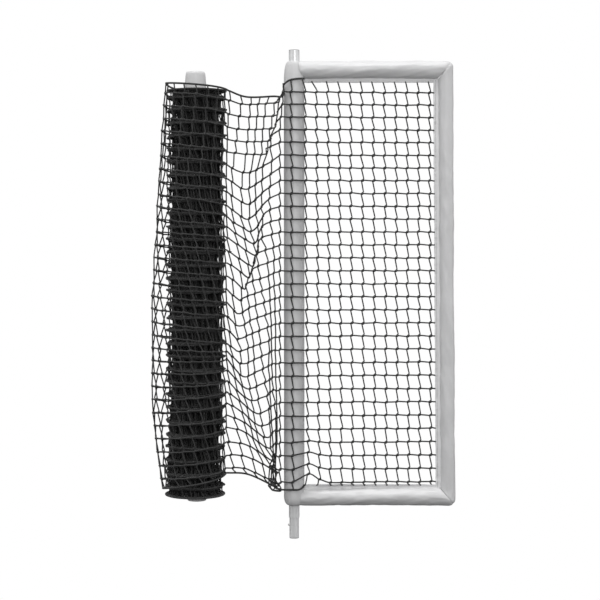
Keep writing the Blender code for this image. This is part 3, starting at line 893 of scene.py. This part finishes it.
def sleeve(name, rings, finish, close=True):
    """A cover lofted through rings of points, with its ends turned in."""
    rings = np.asarray(rings)
    count, sides = rings.shape[:2]
    if close:
        ends = []
        for ring in (rings[0], rings[-1]):
            middle = ring.mean(axis=0)
            ends.append(middle + (ring - middle) * 0.72)
        rings = np.concatenate([ends[0][None], rings, ends[1][None]])
        count += 2
    index = np.arange(count * sides).reshape(count, sides)
    low, high = index[:-1], index[1:]
    quads = np.stack([low, np.roll(low, -1, 1), np.roll(high, -1, 1), high], axis=-1)
    made = piece_from(name, rings.reshape(-1, 3), [quads.reshape(-1, 4)], finish)
    return made


def post_radius(z):
    """The post cover's radius: full along its length, rounded down to the tube at both ends."""
    full, end = POST_R, SLEEVE_END_R
    top_base, bottom_base = POST_HIGH.z - POST_TOP_ROUND, POST_LOW.z + POST_FOOT_ROUND
    share = max(0.0, (z - top_base) / POST_TOP_ROUND, (bottom_base - z) / POST_FOOT_ROUND)
    return end + (full - end) * math.sqrt(max(0.0, 1 - min(1.0, share) ** 2))


def post_sleeve(finish):
    """The post's cover, a little wrinkled near its ends."""
    sides = 96
    foot, top = POST_LOW.z + POST_FOOT_ROUND, POST_HIGH.z - POST_TOP_ROUND
    heights = [POST_LOW.z + POST_FOOT_ROUND * (1 - math.cos(math.pi / 2 * i / 10))
               for i in range(10)]
    heights += list(np.arange(foot, top, 6 * MM))
    heights += [POST_HIGH.z - POST_TOP_ROUND * (1 - math.sin(math.pi / 2 * i / 16))
                for i in range(17)]
    rings = []
    for z in heights:
        radius = post_radius(z)
        ring = []
        ends = max(0.0, 1 - min(abs(z - POST_LOW.z), abs(POST_HIGH.z - z)) / 0.09)
        for cos, sin in circle_steps(sides):
            out = radius + wrinkle((cos, sin, z * 6), 0.8, 0.5 * MM)
            out += ends * wrinkle((cos * 3, sin * 3, z * 4), 1.0, 1.4 * MM)
            ring.append((out * cos, out * sin, z))
        rings.append(ring)
    made = sleeve("post_sleeve", rings, finish)
    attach(made, "frame")
    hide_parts("post_cover")


CORNER_ROUND = 26 * MM


def round_outer_corner(x, z, upper):
    """Moves a point near an outer corner of the frame onto a rounded corner."""
    corner_x = STILE_TOP_X if upper else STILE_BOTTOM_X
    corner_z = TOP_RAIL_Z if upper else BOTTOM_RAIL_Z
    way = 1 if upper else -1
    dx = x - (corner_x + STILE_R - CORNER_ROUND)
    dz = way * (z - (corner_z + way * (RAIL_R - CORNER_ROUND)))
    if dx <= 0 or dz <= 0:
        return x, z
    pull = max(dx, dz) / math.hypot(dx, dz)
    return x + dx * (pull - 1), z + way * dz * (pull - 1)


SEAM_HALF_DEPTH = (RAIL_R + STILE_R) / 2
SEAM_TUCK = 1.3 * MM


def frame_sleeve(name, start, end, radius, cuts, finish, sides=72, inset=0.0, folds=2.9 * MM):
    """A rail's or the stile's pad between its two ends, with soft slanting folds.

    cuts holds a mitre plane's normal for each end, or None where the end lies inside the post's
    pad. At a mitre both pads come down to the same outline, and the seam is tucked in.
    """
    start, end = Vector(start), Vector(end)
    along = (end - start).normalized()
    side = Vector((0, 1, 0))
    up = side.cross(along)
    length = (end - start).length
    steps = max(20, int(length / (6 * MM)))
    shares = [0.5 - 0.5 * math.cos(math.pi * i / 24) for i in range(1, 12)]
    shares = [s * 0.1 for s in shares] + list(np.linspace(0.1, 0.9, steps))
    shares = [0.0] + shares + [1 - s for s in reversed(shares[:11])] + [1.0]
    rings = []
    for share in shares:
        cut = cuts[1] if share > 0.5 else cuts[0]
        near = min(share, 1 - share) * length
        mitred = math.exp(-(near / (16 * MM)) ** 2) if cut is not None else 0.0
        tucked = math.exp(-(near / (3.5 * MM)) ** 2) if cut is not None else 0.0
        loose = 1 - math.exp(-(near / (9 * MM)) ** 2)
        ring = []
        run = share * length
        for depth, across in circle_steps(sides):
            fold = wrinkle((depth * 1.1 + run * 8, across * 1.1 + run * 5, run * 3), 1.0, folds)
            fold += wrinkle((depth * 2.5, across * 2.5 - run * 22, run * 30), 1.0,
                            0.35 * folds * (0.4 + math.exp(-near / 0.08)))
            out = radius - inset - SEAM_TUCK * tucked + min(fold, 1.5 * MM) * loose
            offset = up * across * radius
            slide = 0.0
            for weight, plane in ((1 - share, cuts[0]), (share, cuts[1])):
                if plane is not None:
                    slide -= weight * offset.dot(plane) / along.dot(plane)
            deep = out + (SEAM_HALF_DEPTH - radius) * mitred
            point = start + along * (run + slide) + up * across * out + side * depth * deep
            x, z = round_outer_corner(point.x, point.z, point.z > 1.0)
            ring.append((x, point.y, z))
        rings.append(ring)
    made = sleeve(name, rings, finish, close=inset > 0)
    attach(made, "frame")
    return made


def frame_sleeves(finish, foam):
    """The rails' and the stile's covers, each over its foam."""
    top = Vector((STILE_TOP_X, 0, TOP_RAIL_Z))
    bottom = Vector((STILE_BOTTOM_X, 0, BOTTOM_RAIL_Z))
    top_plane = Vector((RAIL_R, 0, -STILE_R)).normalized()
    bottom_plane = Vector((RAIL_R, 0, STILE_R)).normalized()
    for name, start, end, radius, cuts in (
        ("top_rail", (0.02, 0, TOP_RAIL_Z), top, RAIL_R, (None, top_plane)),
        ("bottom_rail", (0.02, 0, BOTTOM_RAIL_Z), bottom, RAIL_R, (None, bottom_plane)),
        ("stile", bottom, top, STILE_R, (bottom_plane, top_plane)),
    ):
        cover = frame_sleeve(f"{name}_sleeve", start, end, radius, cuts, finish)
        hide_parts(f"{name}_cover")
        filling = frame_sleeve(f"{name}_filling", start, end, radius, cuts, foam, sides=32,
                               inset=5 * MM, folds=0.0)
        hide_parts(f"{name}_foam")


def hem_wave(place):
    """How far a hem stands out of its plane: slow waves, and the puckers between stitches."""
    slow = wrinkle((place.x * 22, 0, place.z * 22), 1.0, 2.0 * MM)
    return slow + wrinkle((place.x * 110, 7, place.z * 110), 1.0, 1.0 * MM)


def hem(name, node, start, end, inward, width, finish, thread):
    """A doubled, stitched edge of the cover: a thin wavy band with a rolled inner edge."""
    start, end, inward = Vector(start), Vector(end), Vector(inward).normalized()
    along = (end - start).normalized()
    length = (end - start).length
    profile = [(-6, 3.2), (0, 2.6), (0.25 * width, 1.9), (0.6 * width, 1.9), (0.85 * width, 2.3),
               (width, 1.6), (width + 0.6, 0)]
    outline = profile + [(u, -y) for u, y in reversed(profile[:-1])]
    steps = int(length / (3 * MM))
    rings = []
    for step in range(steps + 1):
        middle = start + along * length * step / steps
        wave = hem_wave(middle)
        edge = wrinkle((middle.x * 30 + 5, 2, middle.z * 30), 1.0, 1.3 * MM)
        ring = []
        for u, y in outline:
            share = max(0.0, u / width)
            place = middle + inward * (u * MM + edge * share)
            ring.append((place.x, y * MM + wave * share, place.z))
        rings.append(ring)
    made = sleeve(name, rings, finish)
    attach(made, "frame")
    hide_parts(node)
    # the stitches' dark thread is painted shade of the puckers between them
    stitches = Twine()
    pitch = 5.0 * MM
    for k in range(1, int(length / pitch)):
        middle = start + along * pitch * k
        wave = hem_wave(middle)
        place = np.array(middle + inward * 0.62 * width * MM)
        for face in (-1, 1):
            y = face * 2.15 * MM + wave * 0.62
            ends = [place + np.array(along) * t * pitch * 0.36 + np.array((0, y, 0))
                    for t in (-1, 0, 1)]
            ends[1][1] += face * 0.25 * MM
            stitches.strand(ends, 0.45 * MM, 5, tuple(inward))
    sewn = stitches.piece(name + "_stitches", thread)
    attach(sewn, "frame")
    return made


def hems(finish, thread):
    """The three hems that hold the net inside the frame."""
    low_x = STILE_BOTTOM_X - STILE_R
    high_x = STILE_TOP_X - STILE_R
    top_edge = TOP_RAIL_Z - RAIL_R
    low_edge = BOTTOM_RAIL_Z + RAIL_R
    hem("top_rail_edge", "top_rail_hem", (0.041, 0, top_edge), (high_x - 0.004, 0, top_edge),
        (0, 0, -1), 16, finish, thread)
    hem("bottom_rail_edge", "bottom_rail_hem", (0.041, 0, low_edge), (low_x - 0.004, 0, low_edge),
        (0, 0, 1), 16, finish, thread)
    hem("stile_edge", "stile_hem", (low_x, 0, low_edge), (high_x, 0, top_edge),
        (-1, 0, 0), 19, finish, thread)


def pole_sleeve(finish):
    """The pole's cover: a soft foam tube, a little swollen at its neck and gathered at its top."""
    sides = 64
    low, high = POLE_LOW.z, POLE_HIGH.z
    sections = [(37.0, low), (38.6, low + 3e-3), (40.0, low + 0.012), (42.0, low + 0.03)]
    sections += [(42.0, z) for z in np.arange(low + 0.06, high - 0.14, 0.03)]
    sections += [(42.8, high - 0.1), (44.0, high - 0.072), (43.2, high - 0.055), (41.6, high - 0.036),
                 (40.2, high - 0.018), (39.0, high - 0.007), (37.0, high - 0.001), (32.0, high)]
    rings = []
    for radius, z in sections:
        ring = []
        for cos, sin in circle_steps(sides):
            out = radius * MM + wrinkle((cos * 2, sin * 2, z * 12), 1.0, 0.7 * MM)
            ring.append((out * cos + ROLL_AXIS.x, out * sin + ROLL_AXIS.y, z))
        rings.append(ring)
    made = sleeve("pole_sleeve", rings, finish)
    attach(made, "net_roll")
    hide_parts("pole_cover")


# ---- studio

def set_camera(scene):
    lens = bpy.data.cameras.new("camera")
    lens.lens = 90
    lens.sensor_width = 36
    camera = bpy.data.objects.new("camera", lens)
    camera.location = (0.0475, -5.9895, 1.25)
    camera.rotation_euler = (math.radians(90 - 2.78), 0, math.radians(0.232))
    scene.collection.objects.link(camera)
    scene.camera = camera


def white_to_camera(tree, seen, lighting, output):
    """Shows one shader to the camera, and lights the object with another."""
    path = tree.nodes.new("ShaderNodeLightPath")
    mix = tree.nodes.new("ShaderNodeMixShader")
    tree.links.new(path.outputs["Is Camera Ray"], mix.inputs["Fac"])
    tree.links.new(lighting, mix.inputs[1])
    tree.links.new(seen, mix.inputs[2])
    tree.links.new(mix.outputs["Shader"], tree.nodes[output].inputs["Surface"])


def set_floor(scene):
    """A floor that is white to the camera and grey to everything else."""
    made, tree, shader = node_material("floor_white", grey(0.13), 0.9)
    glow = add_node(tree, "ShaderNodeEmission", Color=(1, 1, 1, 1), Strength=1.0)
    white_to_camera(tree, glow.outputs["Emission"], shader.outputs["BSDF"], "Material Output")
    bm = bmesh.new()
    bmesh.ops.create_grid(bm, x_segments=1, y_segments=1, size=12)
    mesh = bpy.data.meshes.new("floor")
    bm.to_mesh(mesh)
    bm.free()
    mesh.materials.append(made)
    floor = bpy.data.objects.new("floor", mesh)
    floor.location.z = -0.002
    scene.collection.objects.link(floor)


def set_world(scene):
    """A backdrop that is white to the camera, and a sky that is lighter above."""
    world = bpy.data.worlds.new("studio")
    scene.world = world
    world.use_nodes = True
    tree = world.node_tree
    background = tree.nodes["Background"]
    source = tree.nodes.new("ShaderNodeTexCoord")
    split = tree.nodes.new("ShaderNodeSeparateXYZ")
    tree.links.new(source.outputs["Generated"], split.inputs["Vector"])
    sky = ramp(tree, split.outputs["Z"], 0.0, 1.0, grey(0.36), grey(0.78))
    white = add_node(tree, "ShaderNodeBackground", Color=(1, 1, 1, 1), Strength=1.0)
    tree.links.new(sky, background.inputs["Color"])
    background.inputs["Strength"].default_value = 1.0
    white_to_camera(tree, white.outputs["Background"], background.outputs["Background"],
                    "World Output")


def set_lights(scene):
    """Soft lamps overhead, in front and at both sides, and a wide sun from above."""
    for name, place, width, height, energy in (
        ("overhead", (0.1, -0.6, 5.2), 3.0, 3.0, 24.0),
        ("front", (0.9, -4.6, 2.6), 2.0, 1.6, 46.0),
        ("side_left", (-4.0, -1.0, 1.0), 3.0, 3.2, 30.0),
        ("side_right", (4.0, -1.0, 1.0), 3.0, 3.2, 24.0),
    ):
        light = bpy.data.lights.new(name, "AREA")
        light.shape = "RECTANGLE"
        light.size = width
        light.size_y = height
        light.energy = energy
        lamp = bpy.data.objects.new(name, light)
        lamp.location = place
        aim = Vector((0, 0, 1.0)) - lamp.location
        lamp.rotation_euler = aim.to_track_quat("-Z", "Y").to_euler()
        scene.collection.objects.link(lamp)
    sun = bpy.data.lights.new("high_sun", "SUN")
    sun.energy = 1.2
    sun.angle = math.radians(24)
    lamp = bpy.data.objects.new("high_sun", sun)
    lamp.rotation_euler = (math.radians(14), math.radians(-6), 0)
    scene.collection.objects.link(lamp)


def studio():
    """The camera, a white floor and backdrop, and the lamps."""
    scene = bpy.context.scene
    scene.view_settings.view_transform = "Standard"
    set_camera(scene)
    set_floor(scene)
    set_world(scene)
    set_lights(scene)


def finish_cad_nodes(finishes):
    """Gives every carried-over CAD node the finish of its slot."""
    slots = {row["node"]: row["material_slot"] for row in frame["record"]["subparts"]}
    for name, node in frame["nodes"].items():
        finish = finishes[slots[name]]
        node.data.materials.clear()
        node.data.materials.append(finish)


def main():
    studio()
    cover = cover_material("pad_cover_fabric", 0.7)
    edge = cover_material("pad_edge_fabric", 0.83)
    twine = twine_material("net_twine_black", 0.022, 1400.0)
    rope = twine_material("border_rope_black", 0.02, 700.0)
    finishes = {
        "galvanised_tube": tube_material(),
        "spring_steel": steel_material(),
        "plug_plastic": moulded_material(),
        "cast_elbow": steel_material(),
        "closed_cell_foam": foam_material(),
        "pad_cover": cover,
        "net_twine": twine,
        "border_rope": rope,
    }
    finish_cad_nodes(finishes)
    post_sleeve(cover)
    frame_sleeves(cover, finishes["closed_cell_foam"])
    hems(edge, pucker_shade_thread_material())
    pole_sleeve(cover)
    wing_net(twine, rope)
    loose_nets(twine, rope)
    wound_nets(twine, rope)
    wound_core(twine)


main()
